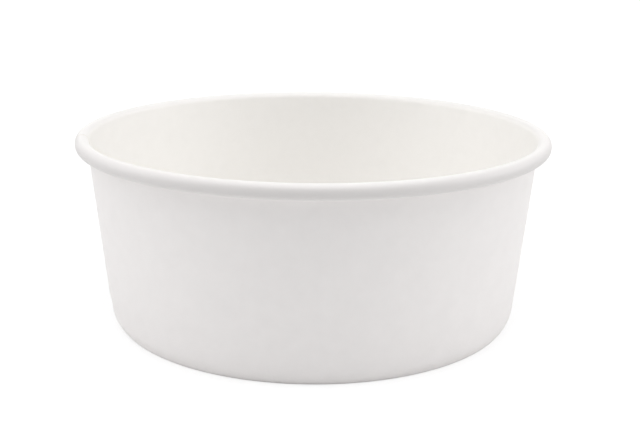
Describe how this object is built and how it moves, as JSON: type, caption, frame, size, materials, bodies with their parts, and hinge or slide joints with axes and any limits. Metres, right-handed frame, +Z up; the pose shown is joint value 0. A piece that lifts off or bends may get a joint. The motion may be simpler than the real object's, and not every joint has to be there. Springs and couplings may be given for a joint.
{
  "type": "paper bowl",
  "caption": "Round paperboard salad bowl: tapered wall with a rolled rim and a lapped side seam, and a recessed bottom disc held by the wall's folded hem.",
  "frame": {"origin": "centre of the foot's standing ring, on the surface that the bowl stands on", "axes": "+Z up along the bowl's axis; the picture looks along +Y; the inner cut edge of the side seam lies 190 degrees round from +X, on the bowl's left as pictured"},
  "size_m": [0.15, 0.15, 0.06],
  "materials": {
    "wall_board": "coated",
    "disc_board": "coated"
  },
  "bodies": {
    "root": {"side_wall": "wall_board", "bottom_disc": "disc_board"}
  },
  "joints": []
}
